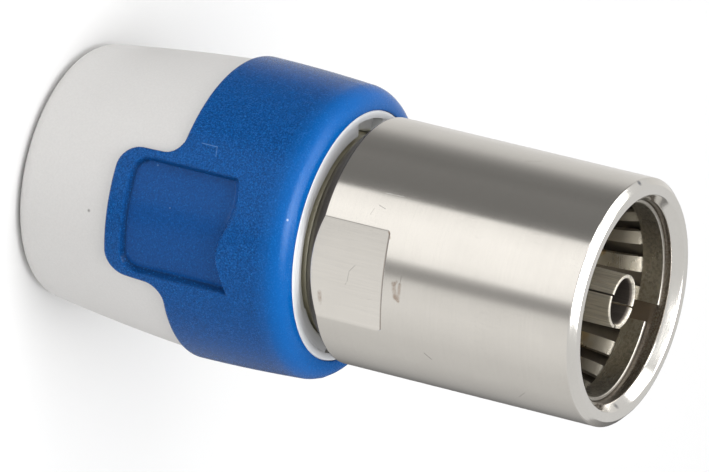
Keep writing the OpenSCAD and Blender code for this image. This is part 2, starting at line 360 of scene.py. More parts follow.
# ---------------------------------------------------------------------------
# metal shell
# ---------------------------------------------------------------------------
def build_shell():
    half = math.degrees(math.acos(FLAT_D / SHELL_R))
    wide = FLAT_D * math.tan(half * D2R)
    lat = np.concatenate([np.linspace(-(wide - 0.2), wide - 0.2, 25), [wide - 0.15, wide - 0.10, wide - 0.06, wide - 0.03]])
    lat = np.sort(np.concatenate([lat, -lat[-4:]]))
    on_flat = np.degrees(np.arctan(lat / FLAT_D))
    ends = np.array([0.3, 0.8, 1.6])
    between = np.concatenate([half + ends, np.linspace(half + 3.0, 180.0 - half - 3.0, 80), 180.0 - half - ends[::-1]])
    turn = -90.0 + BODY_TURN
    d = np.concatenate([on_flat, between, on_flat, between])
    phis = np.concatenate([turn + on_flat, turn + between, turn + 180.0 + on_flat, turn + 180.0 + between])
    flat = np.abs(d) < half
    re = np.where(flat, FLAT_D / np.cos(d * D2R), SHELL_R)
    re = np.where(flat, np.minimum(re, SHELL_R), SHELL_R)
    ze = SHELL_Z + re - CONE_R
    t = np.clip((np.abs(FLAT_D * np.tan(np.where(flat, d, 0) * D2R)) - (wide - 0.2)) / 0.2, 0, 1)
    lat_ = FLAT_D * np.tan(np.where(flat, d, 0) * D2R) / wide
    zw = np.where(flat, FLAT_Z1 + 0.14 * (1 - lat_ ** 2) - 0.2 * (1 - np.sqrt(1 - t * t)), FLAT_Z1 - 0.2)
    L = TOTAL_L
    one = np.ones_like(d)
    rows = [(q[0] * one, q[1] * one) for q in ((SOCK_R + 0.02, SHELL_Z), (5.38, SHELL_Z), (5.43, SHELL_Z), (5.455, SHELL_Z + 0.01), (5.48, SHELL_Z + 0.03))]
    k = math.sqrt(0.5)
    ar, az = re - 0.025 * k, ze - 0.025 * k
    cr_, cz = re - 0.07 * k, ze - 0.07 * k
    rows += [(5.48 + f * (cr_ - 5.48), SHELL_Z + 0.03 + f * (cz - SHELL_Z - 0.03)) for f in (0.33, 0.67, 1.0)]
    rows += [(ar, az)]
    rows += [((1 - f) ** 2 * ar + 2 * f * (1 - f) * re + f * f * re, (1 - f) ** 2 * az + 2 * f * (1 - f) * ze + f * f * (ze + 0.025)) for f in (0.33, 0.67)]
    rows += [(re, ze + 0.025), (re, ze + 0.12)]
    rows += [(re, ze + 0.12 + f * (zw - 0.03 - ze - 0.12)) for f in (0.1, 0.25, 0.45, 0.65, 0.85, 0.96, 1.0)]
    deep = SHELL_R - re
    rr = np.minimum(0.008, 0.6 * deep)
    rows += [(re, zw), (re + 0.5 * (deep - rr), zw + 0.002), (SHELL_R - rr, zw + 0.004)]
    rows += [(SHELL_R - rr + rr * math.sin(a * D2R), zw + 0.006 + a * 6e-5 + rr * (1 - math.cos(a * D2R))) for a in (30.0, 60.0)]
    rows += [(SHELL_R * one, zw + rr + 0.014), (SHELL_R * one, zw + rr + 0.06)]
    rows += [(SHELL_R * one, z * one) for z in np.linspace(22.0, L - 0.8, 10)]
    face = SHELL_R - 0.35 - 0.47
    rim = [(SHELL_R, L - 0.43), (SHELL_R, L - 0.385), (SHELL_R - 0.008, L - 0.352), (SHELL_R - 0.032, L - 0.318), (SHELL_R - 0.07, L - 0.28),
           (SHELL_R - 0.19, L - 0.16), (SHELL_R - 0.30, L - 0.05), (SHELL_R - 0.328, L - 0.026), (SHELL_R - 0.355, L - 0.008), (SHELL_R - 0.39, L), (SHELL_R - 0.43, L),
           (face + 0.2, L), (face + 0.07, L), (face + 0.03, L), (face + 0.005, L - 0.008), (face - 0.02, L - 0.03), (face - 0.06, L - 0.08),
           (SOCK_R + 0.10, L - 0.37), (SOCK_R + 0.045, L - 0.445), (SOCK_R + 0.015, L - 0.49), (SOCK_R, L - 0.54), (SOCK_R, L - 0.6)]
    bore = [(SOCK_R, L - 0.8), (SOCK_R, L - 2.0), (SOCK_R, 28.0), (SOCK_R, 24.05), (SOCK_R - 0.05, 24.0), (4.65, 24.0), (4.6, 23.95), (4.6, 22.6),
            (SOCK_R + 0.02, 22.6), (SOCK_R + 0.02, 20.0)]
    rows += [(q[0] * one, q[1] * one) for q in rim + bore]
    R = np.array([q[0] for q in rows])
    Z = np.array([q[1] for q in rows])
    return revolve("outer_shell_turned", np.stack([R[:, 0], Z[:, 0]], 1), phis, lambda r, z, ph, idx: (R, Z), 30.0)


# ---------------------------------------------------------------------------
# contact spring
# ---------------------------------------------------------------------------
SPRING_Z0, SPRING_Z1 = 24.05, 31.65
SPRING_SEAM = 75.0


def build_spring():
    bz0, bz1 = SPRING_Z0 + 0.8, SPRING_Z1 - 1.2
    zs = np.concatenate([np.linspace(SPRING_Z0, bz0, 4)[:-1], [bz0 + 0.001, bz0 + 0.08], np.linspace(bz0 + 0.3, bz1 - 0.3, 21), [bz1 - 0.08, bz1 - 0.001],
                         np.linspace(bz1 + 0.06, SPRING_Z1 - 0.05, 6), [SPRING_Z1 - 0.02, SPRING_Z1]])
    hw = 0.38 / 5.1 / D2R
    seam = 0.5 / 5.1 / D2R
    cols, slot = [], []
    for k in range(20):
        c = 18.0 * k
        h0 = seam if k == 0 else hw
        h1 = seam if k == 19 else hw
        for a in (-h0, -h0 * 0.5, 0.0, h0 * 0.5):
            cols.append(c + a)
            slot.append(True)
        for t in np.linspace(0, 1, 8)[:-1]:
            cols.append(c + h0 + t * (18.0 - h0 - h1))
            slot.append(False)
    cols = np.array(cols)
    slot = np.array(slot)
    n, m = len(zs), len(cols)
    Z = np.repeat(zs[:, None], m, 1)
    A = np.repeat(cols[None], n, 0)
    t = np.clip((Z - bz0) / (bz1 - bz0), 0, 1)
    ro = SOCK_R - 0.02 - 0.40 * (4 * t * (1 - t)) ** 0.9
    ri = ro - 0.2
    # rounded sheet edge at the front
    edge = smooth(SPRING_Z1 - 0.05, SPRING_Z1, Z)
    ro = ro - 0.04 * edge
    ri = ri + 0.04 * edge
    # the rolled strip does not close true: one end at the seam sits lower and further in
    dd = (A + 180.0) % 360.0 - 180.0
    low = np.where(dd < 0, np.exp(-(dd / 75.0) ** 2), 0.0)
    near = np.where(dd < 0, np.exp(-(dd / 34.0) ** 2), 0.0)
    front = smooth(25.0, 30.0, Z)
    Z = Z - 0.42 * low * front
    shift = 0.13 * near * front
    outer = cyl(ro - shift, A + SPRING_SEAM, Z)
    inner = cyl(ri - shift, A + SPRING_SEAM, Z)
    keep = np.ones((n - 1, m), bool)
    mid = 0.5 * (zs[1:] + zs[:-1])
    keep[np.ix_((mid > bz0) & (mid < bz1), slot)] = False
    # the seam runs through one window from end to end
    keep[:, :4] = False
    return wall_grid("contact_spring_rolled", outer, inner, keep, True, 30.0)


# ---------------------------------------------------------------------------
# centre contact
# ---------------------------------------------------------------------------
SLIT_AT = 70.0


def build_contact():
    z1 = TOTAL_L - 0.55
    z0 = z1 - 8.2
    zs = np.concatenate([np.linspace(z0, z1 - 6.5, 5)[:-1], np.linspace(z1 - 6.5, z1 - 0.3, 20), [z1 - 0.22, z1 - 0.19, z1 - 0.12, z1 - 0.07, z1 - 0.035, z1 - 0.012, z1]])
    hw = 0.055 / 1.4 / D2R
    cols, slot, jaw = [], [], []
    for k in range(4):
        c = 90.0 * k
        for a in (-hw, 0.0):
            cols.append(c + a)
            slot.append(True)
            jaw.append(k if a == 0.0 else (k - 1) % 4)
        for t in np.linspace(0, 1, 21)[:-1]:
            cols.append(c + hw + t * (90.0 - 2 * hw))
            slot.append(False)
            jaw.append(k)
    cols, slot, jaw = np.array(cols), np.array(slot), np.array(jaw)
    n, m = len(zs), len(cols)
    Z = np.repeat(zs[:, None], m, 1)
    A = np.repeat(cols[None], n, 0)
    ro = np.interp(Z, [z1 - 0.09, z1 - 0.035, z1 - 0.012, z1], [1.45, 1.445, 1.43, 1.405])
    ri = np.interp(Z, [z1 - 0.2, z1 - 0.012, z1], [1.2, 1.305, 1.318])
    # the four jaws lean in by slightly different amounts and end at slightly different heights
    lean = np.array([0.03, 0.055, 0.015, 0.045])[jaw][None] * smooth(z1 - 6.5, z1, Z)
    tip = np.array([0.0, 0.025, -0.02, 0.012])[jaw][None] * smooth(z1 - 0.3, z1 - 0.1, Z)
    ro, ri, Z = ro - lean, ri - lean, Z - 0.02 + tip
    keep = np.ones((n - 1, m), bool)
    mid = 0.5 * (zs[1:] + zs[:-1])
    keep[np.ix_(mid > z1 - 6.5, slot)] = False
    tube = wall_grid("centre_contact_tube", cyl(ro, A + SLIT_AT, Z), cyl(ri, A + SLIT_AT, Z), keep, True, 30.0)
    rear = revolve("centre_contact_stem", [(0.05, z0 - 0.5), (0.05, 22.3), (0.6, 22.0), (0.6, 18.25), (0.68, 18.1), (0.95, 18.1), (1.2, 18.35),
                                           (1.2, 20.58), (1.23, 20.6), (1.42, 20.6), (1.45, 20.63), (1.45, z0), (1.2, z0)], np.linspace(0, 360, 49)[:-1], None, 30.0)
    return tube, rear


# ---------------------------------------------------------------------------
# threaded neck, with its real thread
# ---------------------------------------------------------------------------
def build_neck():
    phis = np.linspace(0, 360, 97)[:-1]
    zt = np.linspace(10.4, 16.1, 115)
    pts = [(4.66, 10.0), (4.95, 10.0)] + [(5.3, z) for z in zt] + [(5.3, 16.3), (5.3, 16.6), (5.3, 20.58), (3.2, 20.58), (3.2, 15.0),
           (2.66, 15.0), (2.66, 13.2), (4.0, 13.2), (4.0, 11.8)]
    k0, k1 = 2, 2 + len(zt)

    def shape(r, z, ph, idx):
        turn = (z - ph / 360.0) % 1.0
        tri = np.abs(turn - 0.5) * 2.0
        prof = np.clip((tri - 0.12) / 0.76, 0, 1)
        fade = smooth(10.4, 11.2, z) * smooth(16.1, 15.5, z)
        cut = 0.42 * (1 - prof) * fade + 0.34 * smooth(11.0, 10.4, z)
        on = (idx >= k0) & (idx < k1)
        r = np.where(on[:, None], r - cut, r)
        return r, z
    return revolve("threaded_neck_cut", pts, phis, shape, 28.0)


# ---------------------------------------------------------------------------
# materials
# ---------------------------------------------------------------------------
class Nodes:
    """Small helper to write node trees by hand."""

    def __init__(self, name):
        self.mat = bpy.data.materials.new(name)
        self.mat.use_nodes = True
        self.t = self.mat.node_tree
        self.t.nodes.clear()
        self.out = self.t.nodes.new("ShaderNodeOutputMaterial")
        self.bsdf = self.t.nodes.new("ShaderNodeBsdfPrincipled")
        self.t.links.new(self.bsdf.outputs[0], self.out.inputs[0])
        tc = self.t.nodes.new("ShaderNodeTexCoord")
        m = self.add("ShaderNodeVectorMath", operation="SCALE")
        self.link(tc.outputs["Object"], m.inputs[0])
        m.inputs["Scale"].default_value = 1000.0
        self.p = m.outputs[0]              # position in millimetres

    def add(self, kind, **kw):
        n = self.t.nodes.new(kind)
        for k, v in kw.items():
            setattr(n, k, v)
        return n

    def link(self, a, b):
        self.t.links.new(a, b)

    def math(self, op, a, b=None, clamp=False):
        n = self.add("ShaderNodeMath", operation=op, use_clamp=clamp)
        for i, v in enumerate((a, b)):
            if v is None:
                continue
            if isinstance(v, (int, float)):
                n.inputs[i].default_value = v
            else:
                self.link(v, n.inputs[i])
        return n.outputs[0]

    def scaled(self, x, y, z, loc=(0, 0, 0)):
        n = self.add("ShaderNodeMapping")
        n.inputs["Scale"].default_value = (x, y, z)
        n.inputs["Location"].default_value = loc
        self.link(self.p, n.inputs["Vector"])
        return n.outputs[0]

    def noise(self, vec, scale, detail=3.0, rough=0.55, dist=0.0):
        n = self.add("ShaderNodeTexNoise")
        self.link(vec, n.inputs["Vector"])
        n.inputs["Scale"].default_value = scale
        n.inputs["Detail"].default_value = detail
        n.inputs["Roughness"].default_value = rough
        n.inputs["Distortion"].default_value = dist
        return n.outputs["Fac"]

    def ramp(self, fac, lo, hi, a=0.0, b=1.0):
        n = self.add("ShaderNodeMapRange", clamp=True)
        self.link(fac, n.inputs["Value"])
        n.inputs["From Min"].default_value = lo
        n.inputs["From Max"].default_value = hi
        n.inputs["To Min"].default_value = a
        n.inputs["To Max"].default_value = b
        return n.outputs["Result"]

    def mix(self, fac, a, b):
        n = self.add("ShaderNodeMix", data_type="RGBA")
        if isinstance(fac, (int, float)):
            n.inputs[0].default_value = fac
        else:
            self.link(fac, n.inputs[0])
        for k, v in ((6, a), (7, b)):
            if isinstance(v, tuple):
                n.inputs[k].default_value = (*v, 1.0)
            else:
                self.link(v, n.inputs[k])
        return n.outputs[2]

    def near_point(self, pt, radius, soft=0.35, stretch=(1, 1, 1)):
        """1 close to a point on the part, falling to 0 at the radius."""
        s = self.add("ShaderNodeVectorMath", operation="SUBTRACT")
        self.link(self.p, s.inputs[0])
        s.inputs[1].default_value = pt
        q = self.add("ShaderNodeVectorMath", operation="MULTIPLY")
        self.link(s.outputs[0], q.inputs[0])
        q.inputs[1].default_value = stretch
        l = self.add("ShaderNodeVectorMath", operation="LENGTH")
        self.link(q.outputs[0], l.inputs[0])
        return self.ramp(l.outputs["Value"], radius, radius * soft)

    def near_stroke(self, a, b, width, soft=0.35):
        """1 along a straight stroke from a to b on the part, falling to 0 at the given half width."""
        a, b = Vector(a), Vector(b)
        ab = b - a
        s = self.add("ShaderNodeVectorMath", operation="SUBTRACT")
        self.link(self.p, s.inputs[0])
        s.inputs[1].default_value = a
        d = self.add("ShaderNodeVectorMath", operation="DOT_PRODUCT")
        self.link(s.outputs[0], d.inputs[0])
        d.inputs[1].default_value = ab / ab.length_squared
        t = self.math("MULTIPLY", d.outputs["Value"], 1.0, True)
        m = self.add("ShaderNodeVectorMath", operation="SCALE")
        m.inputs[0].default_value = ab
        self.link(t, m.inputs["Scale"])
        q = self.add("ShaderNodeVectorMath", operation="DISTANCE")
        self.link(s.outputs[0], q.inputs[0])
        self.link(m.outputs[0], q.inputs[1])
        return self.ramp(q.outputs["Value"], width, width * soft)

    def radius(self):
        """Distance from the axis, in millimetres."""
        m = self.add("ShaderNodeVectorMath", operation="MULTIPLY")
        self.link(self.p, m.inputs[0])
        m.inputs[1].default_value = (1, 1, 0)
        l = self.add("ShaderNodeVectorMath", operation="LENGTH")
        self.link(m.outputs[0], l.inputs[0])
        return l.outputs["Value"]

    def height(self):
        n = self.add("ShaderNodeSeparateXYZ")
        self.link(self.p, n.inputs[0])
        return n.outputs["Z"]

    def bump(self, height, strength, dist, normal=None):
        n = self.add("ShaderNodeBump")
        n.inputs["Strength"].default_value = strength
        n.inputs["Distance"].default_value = dist * MM
        self.link(height, n.inputs["Height"])
        if normal is not None:
            self.link(normal, n.inputs["Normal"])
        return n.outputs[0]


def on_shell(theta, z, r=SHELL_R):
    """A point on a round surface, from the angle above the side that faces the camera."""
    a = (NEAR - theta) * D2R
    return (r * math.cos(a), r * math.sin(a), z)


def nickel_material(name, base, rough, shell=False, strokes=(), spots=(), streaks=0.0, lines=1.0, bore=0.0, sheared=False):
    n = Nodes(name)
    turn = n.noise(n.scaled(0.18, 0.18, 26.0), 1.0, 4.0, 0.65)
    coarse = n.noise(n.scaled(0.12, 0.12, 5.0), 1.0, 2.0, 0.5)
    cloud = n.noise(n.scaled(1, 1, 1), 0.35, 3.0, 0.5)
    fine = n.noise(n.scaled(1, 1, 1), 11.0, 3.0, 0.6)
    tone = n.mix(n.ramp(cloud, 0.35, 0.7), base, tuple(c * 0.96 for c in base))
    tone = n.mix(n.ramp(turn, 0.42, 0.78, 0.0, 0.22 * lines), tone, tuple(c * 0.86 for c in base))
    tone = n.mix(n.ramp(fine, 0.45, 0.75, 0.0, 0.10), tone, tuple(c * 0.70 for c in base))
    r = n.math("ADD", n.ramp(turn, 0.3, 0.7, rough - 0.03 * lines, rough + 0.04 * lines), n.ramp(cloud, 0.3, 0.75, -0.02, 0.04))
    if streaks:
        # draw marks along the axis
        along = n.noise(n.scaled(7.5, 7.5, 0.3), 1.0, 3.0, 0.65)
        tone = n.mix(n.ramp(along, 0.42, 0.66, 0.0, streaks), tone, tuple(c * 0.35 for c in base))
        r = n.math("ADD", r, n.ramp(along, 0.35, 0.7, -0.04, 0.12))
    if sheared:
        # the sheared front edge of the sheet is dull
        geo = n.add("ShaderNodeNewGeometry")
        sx = n.add("ShaderNodeSeparateXYZ")
        n.link(geo.outputs["Normal"], sx.inputs[0])
        cutface = n.ramp(sx.outputs["Z"], 0.35, 0.8)
        tone = n.mix(n.math("MULTIPLY", cutface, 0.8), tone, tuple(c * 0.42 for c in base))
        r = n.math("ADD", r, n.math("MULTIPLY", cutface, 0.16))
        # the plain front band is speckled, and the crest of the fingers is worn to the brass in places
        high = n.height()
        dots = n.noise(n.scaled(1, 1, 1, (2, 5, 3)), 6.0, 3.0, 0.65)
        tone = n.mix(n.math("MULTIPLY", n.ramp(high, 30.2, 30.5), n.ramp(dots, 0.44, 0.62, 0.0, 0.55)), tone, tuple(c * 0.45 for c in base))
        patch = n.noise(n.scaled(1, 1, 1, (7, 1, 4)), 1.1, 2.0, 0.5)
        crest = n.math("MULTIPLY", n.math("MULTIPLY", n.ramp(high, 26.4, 27.4), n.ramp(high, 29.2, 28.4)), n.ramp(patch, 0.46, 0.62))
        tone = n.mix(n.math("MULTIPLY", crest, 0.7), tone, (0.58, 0.42, 0.22))
    if bore:
        # painted shade: the pin bore is coloured dark brown, and made duller
        inner = n.math("MULTIPLY", n.ramp(n.radius(), bore + 0.055, bore + 0.025), n.ramp(n.height(), 31.9, 31.8))
        tone = n.mix(n.math("MULTIPLY", inner, 0.9), tone, (0.085, 0.068, 0.060))
        r = n.math("ADD", r, n.math("MULTIPLY", inner, 0.12))
    if shell:
        rad, z = n.radius(), n.height()
        # brushed lines along the axis on the two flats
        flat = n.math("MULTIPLY", n.ramp(rad, 6.49, 6.44), n.ramp(z, FLAT_Z1 + 0.2, FLAT_Z1 + 0.14))
        brush = n.noise(n.scaled(12.0, 12.0, 0.3), 1.0, 3.0, 0.6)
        tone = n.mix(n.math("MULTIPLY", flat, n.ramp(brush, 0.40, 0.72, 0.0, 0.30)), tone, tuple(c * 0.72 for c in base))
        r = n.math("ADD", r, n.math("MULTIPLY", flat, n.ramp(brush, 0.3, 0.7, 0.0, 0.07)))
        tone = n.mix(n.math("MULTIPLY", flat, 0.65), tone, tuple(min(0.95, c * 1.07) for c in base))
        # painted shade: the cone at the rear end, in the gap under the ring, is made dull and coloured dark, lighter
        # towards its inner edge and in a patch near the top
        off = n.math("ABSOLUTE", n.math("SUBTRACT", n.math("SUBTRACT", z, rad), SHELL_Z - CONE_R))
        cone = n.ramp(off, 0.055, 0.02)
        tone = n.mix(n.math("MULTIPLY", cone, 0.95), tone, n.mix(n.ramp(rad, 5.72, 5.98), (0.36, 0.335, 0.27), (0.070, 0.055, 0.046)))
        r = n.math("ADD", r, n.math("MULTIPLY", cone, 0.22))
        side = n.near_point(on_shell(82.0, 17.1, 6.0), 2.9, 0.45, (1, 1, 1))
        tone = n.mix(n.math("MULTIPLY", n.math("MULTIPLY", cone, side), 0.85), tone, (0.42, 0.40, 0.37))
        # painted shade: the bore behind the spring is coloured dark, a little lighter along the spring's seam
        behind = n.math("MULTIPLY", n.ramp(rad, 5.34, 5.31), n.math("MULTIPLY", n.ramp(z, 31.5, 31.2), n.ramp(z, 24.0, 24.1)))
        tone = n.mix(n.math("MULTIPLY", behind, 0.92), tone, (0.22, 0.20, 0.18))
        # painted shade: the bore between the spring and the mouth is coloured dark brown in speckles
        mouth = n.math("MULTIPLY", n.ramp(rad, 5.34, 5.31), n.math("MULTIPLY", n.ramp(z, 31.99, 31.93), n.ramp(z, 31.15, 31.3)))
        tone = n.mix(n.math("MULTIPLY", mouth, n.ramp(fine, 0.38, 0.6, 0.6, 0.95)), tone, (0.24, 0.20, 0.165))
        r = n.math("ADD", r, n.math("MULTIPLY", mouth, 0.15))
        seam = n.near_stroke(cyl(5.3, SPRING_SEAM, 25.0), cyl(5.3, SPRING_SEAM, 31.3), 1.1, 0.6)
        tone = n.mix(n.math("MULTIPLY", n.math("MULTIPLY", behind, seam), 0.9), tone, (0.33, 0.27, 0.22))
        r = n.math("ADD", r, n.math("MULTIPLY", behind, 0.2))
        # painted shade: the corner at the front end of the flats is coloured dark brown
        bow = n.math("ADD", n.math("MULTIPLY", n.math("SUBTRACT", SHELL_R, rad), 0.14 / (SHELL_R - FLAT_D)), FLAT_Z1)
        back = n.math("SUBTRACT", bow, z)
        reach = n.math("SUBTRACT", back, n.math("MULTIPLY", n.math("SUBTRACT", SHELL_R, rad), 0.5))
        corner = n.math("MULTIPLY", n.ramp(reach, 0.095, 0.035), n.math("MULTIPLY", n.ramp(back, -0.03, -0.01), n.ramp(rad, 6.499, 6.48)))
        tone = n.mix(n.math("MULTIPLY", corner, 0.70), tone, (0.20, 0.16, 0.13))
        # fine random hairlines
        hair = n.noise(n.scaled(7.0, 7.0, 0.9), 1.0, 1.0, 0.5, 1.2)
        hair2 = n.noise(n.scaled(0.6, 0.6, 0.5, (4, 2, 9)), 1.0, 2.0, 0.5)
        line = n.math("MULTIPLY", n.ramp(n.math("ABSOLUTE", n.math("SUBTRACT", hair, 0.5)), 0.012, 0.0), n.ramp(hair2, 0.52, 0.64))
        r = n.math("ADD", r, n.math("MULTIPLY", line, 0.10))
        tone = n.mix(n.math("MULTIPLY", line, 0.16), tone, tuple(c * 0.5 for c in base))
    speck = n.noise(n.scaled(3.3, 3.3, 3.3), 1.0, 3.0, 0.6)
    for a, b, w, col, amount, broken in strokes:
        m = n.near_stroke(a, b, w)
        if broken:
            m = n.math("MULTIPLY", m, n.ramp(speck, 0.34, 0.56, 0.25, 1.0))
        m = n.math("MULTIPLY", m, amount)
        tone = n.mix(m, tone, col)
        r = n.math("ADD", r, n.math("MULTIPLY", m, 0.12))
    for pt, w, col, amount, st in spots:
        m = n.math("MULTIPLY", n.near_point(pt, w, 0.3, st), amount)
        tone = n.mix(m, tone, col)
        r = n.math("ADD", r, n.math("MULTIPLY", m, 0.12))
    n.link(tone, n.bsdf.inputs["Base Color"])
    n.link(r, n.bsdf.inputs["Roughness"])
    n.bsdf.inputs["Metallic"].default_value = 1.0
    b = n.bump(turn, 0.07 * lines, 0.012)
    b = n.bump(coarse, 0.06 * lines, 0.02, b)
    n.link(b, n.bsdf.inputs["Normal"])
    return n.mat


def plastic_material(name, base, dark, rough, grain, marks=(), strokes=(), spec=0.5, mottle=0.05, grip=False, ring=False, tint=None):
    n = Nodes(name)
    fine = n.noise(n.scaled(1, 1, 1), 11.5 if grip else 9.0, 4.0, 0.6)
    mid = n.noise(n.scaled(1, 1, 1), 2.2, 3.0, 0.55)
    wide = n.noise(n.scaled(1, 1, 1), 0.22, 2.0, 0.5)
    tone = n.mix(n.ramp(wide, 0.3, 0.72), base, dark)
    tone = n.mix(n.ramp(fine, 0.36, 0.66, mottle, 0.0), tone, tuple(c * (0.34 if grip else 0.55) for c in dark))
    r = n.math("ADD", n.ramp(fine, 0.3, 0.7, rough - 0.05, rough + 0.06), n.ramp(mid, 0.3, 0.7, -0.03, 0.03))
    height = fine
    if ring:
        # painted light: the front ring and the notch floor below it are coloured brighter and cooler than the rest of
        # the cap
        tone = n.mix(n.ramp(n.height(), 15.2, 15.4), tone, (0.875, 0.895, 0.925))
    if grip:
        # the pocket's floor is smoother, and the corner along its walls gets painted shade
        floor = n.add("ShaderNodeAttribute", attribute_name="bed").outputs["Fac"]
        wall = n.add("ShaderNodeAttribute", attribute_name="pocket_shade").outputs["Fac"]
        # painted sheen: the pocket's floor is coloured darker and a little violet
        tone = n.mix(n.math("MULTIPLY", floor, 0.8), tone, (0.006, 0.073, 0.282))
        tone = n.mix(n.math("MULTIPLY", floor, n.ramp(fine, 0.36, 0.66, 0.45, 0.0)), tone, (0.004, 0.040, 0.155))
        tone = n.mix(n.math("MULTIPLY", wall, 0.92), tone, tuple(c * 0.34 for c in dark))
        r = n.math("ADD", n.math("SUBTRACT", r, n.math("MULTIPLY", floor, 0.07)), n.math("MULTIPLY", wall, 0.3))
        # painted shade along the grip's outline
        edge = n.add("ShaderNodeAttribute", attribute_name="rim").outputs["Fac"]
        tone = n.mix(n.math("MULTIPLY", edge, 0.75), tone, tuple(c * 0.30 for c in dark))
        # painted light: the lip is coloured lighter towards its front edge, standing for the stronger light it catches
        tone = n.mix(n.ramp(n.height(), 14.7, 16.1), tone, (base[0], base[1] * 1.25, base[2] * 1.20))
        # light flecks in the grain
        fleck = n.noise(n.scaled(1, 1, 1, (3, 7, 1)), 11.5, 3.0, 0.6)
        lit = n.math("MULTIPLY", n.ramp(fleck, 0.56, 0.72), n.ramp(floor, 0.0, 1.0, 0.80, 0.45))
        tone = n.mix(lit, tone, (0.012, 0.19, 0.59))
        height = n.math("MULTIPLY", fine, n.ramp(floor, 0.0, 1.0, 1.0, 0.45))
    for pt, rad_, col, amount, st in marks:
        m = n.math("MULTIPLY", n.near_point(pt, rad_, 0.3, st), amount)
        tone = n.mix(m, tone, col)
    for a, b, w, col, amount in strokes:
        tone = n.mix(n.math("MULTIPLY", n.near_stroke(a, b, w), amount), tone, col)
    n.link(tone, n.bsdf.inputs["Base Color"])
    n.link(r, n.bsdf.inputs["Roughness"])
    n.bsdf.inputs["IOR"].default_value = 1.48
    n.bsdf.inputs["Specular IOR Level"].default_value = spec
    if tint:
        n.bsdf.inputs["Specular Tint"].default_value = (*tint, 1.0)
    b = n.bump(height, grain, 0.02)
    b = n.bump(mid, 0.10, 0.05, b)
    n.link(b, n.bsdf.inputs["Normal"])
    return n.mat


def set_material(ob, mat):
    ob.data.materials.clear()
    ob.data.materials.append(mat)


BROWN = (0.36, 0.26, 0.19)
DARK = (0.05, 0.05, 0.05)
GREY = (0.30, 0.28, 0.25)
PALE = (0.95, 0.94, 0.92)


def scratch(t0, z0, t1, z1, w, col, amount, broken=False, r=SHELL_R):
    return (on_shell(t0, z0, r), on_shell(t1, z1, r), w, col, amount, broken)


NICKEL = nickel_material("nickel_turned", (0.80, 0.775, 0.73), 0.125, True, [
    scratch(-15.6, 22.30, -17.6, 22.16, 0.10, BROWN, 0.42, True),
    scratch(-17.0, 22.14, -23.3, 22.30, 0.17, BROWN, 0.55, True),
    scratch(-16.7, 22.50, -24.4, 22.46, 0.13, BROWN, 0.50, True),
    scratch(-22.8, 22.28, -24.4, 22.46, 0.12, BROWN, 0.42, True),
    scratch(-12.9, 22.53, -16.7, 22.50, 0.035, GREY, 0.4),
    scratch(-31.6, 17.70, -37.4, 17.82, 0.15, BROWN, 0.60, True, 6.15),
    scratch(-14.2, 19.58, -17.9, 19.27, 0.026, GREY, 0.40, False, 5.93),
    scratch(-17.9, 19.27, -23.2, 19.22, 0.026, GREY, 0.40, False, 5.94),
    scratch(-23.2, 19.22, -25.0, 19.12, 0.026, GREY, 0.40, False, 5.97),
    scratch(16.1, 20.34, 15.1, 20.73, 0.030, DARK, 0.38),
    scratch(14.1, 20.13, 11.0, 20.03, 0.022, GREY, 0.35),
    scratch(22.5, 20.46, 22.75, 21.49, 0.030, PALE, 0.7, True),
    scratch(5.2, 21.32, 2.6, 21.45, 0.09, BROWN, 0.7, True, 6.47),
    scratch(-49.5, 23.8, -52.5, 24.15, 0.045, DARK, 0.35),
    scratch(62.0, 26.2, 66.0, 26.9, 0.025, GREY, 0.4),
    scratch(-66.0, 28.8, -60.5, 29.3, 0.025, GREY, 0.4),
    scratch(140.0, 20.0, 146.0, 21.6, 0.030, GREY, 0.5),
    scratch(-150.0, 26.0, -141.0, 27.4, 0.030, GREY, 0.5),
], [
    (on_shell(70.0, 32.26, 6.43), 0.20, (0.12, 0.13, 0.15), 0.85, (1, 1, 1)),
    (on_shell(-107.0, 32.28, 5.42), 0.24, (0.14, 0.14, 0.15), 0.8, (1, 1, 1)),
    (on_shell(79.0, 32.40, 5.72), 0.10, (0.15, 0.14, 0.13), 0.6, (1, 1, 1)),
    (on_shell(-74.5, 32.40, 5.60), 0.16, (0.42, 0.42, 0.34), 0.6, (1, 1, 1)),
])
SPRING = nickel_material("spring_sheet", (0.67, 0.64, 0.575), 0.27, lines=0.12, sheared=True)
TUBE = nickel_material("contact_tube", (0.74, 0.70, 0.61), 0.38, streaks=0.60, lines=0.15, bore=1.2)
NICKEL_DULL = nickel_material("nickel_inner", (0.56, 0.53, 0.46), 0.24)
NICKEL_NECK = nickel_material("nickel_neck", (0.74, 0.71, 0.58), 0.36)
WHITE = plastic_material("white_cap", (0.697, 0.686, 0.671), (0.679, 0.668, 0.653), 0.42, 0.08,
                         [(on_shell(-15.9, 4.73, 7.25), 0.12, (0.10, 0.09, 0.08), 0.8, (1, 1, 1)),
                          (on_shell(120.0, 3.1, 7.05), 0.09, (0.22, 0.20, 0.18), 0.7, (1, 1, 1)),
                          # the last mark is painted shade: a brown darkening on the wall of the notch in the front ring
                          (on_shell(67.5, 15.98, 6.15), 1.2, (0.21, 0.165, 0.13), 0.85, (1, 1, 2.6))], spec=0.30, mottle=0.10, ring=True)
SCUFF = (0.16, 0.33, 0.62)
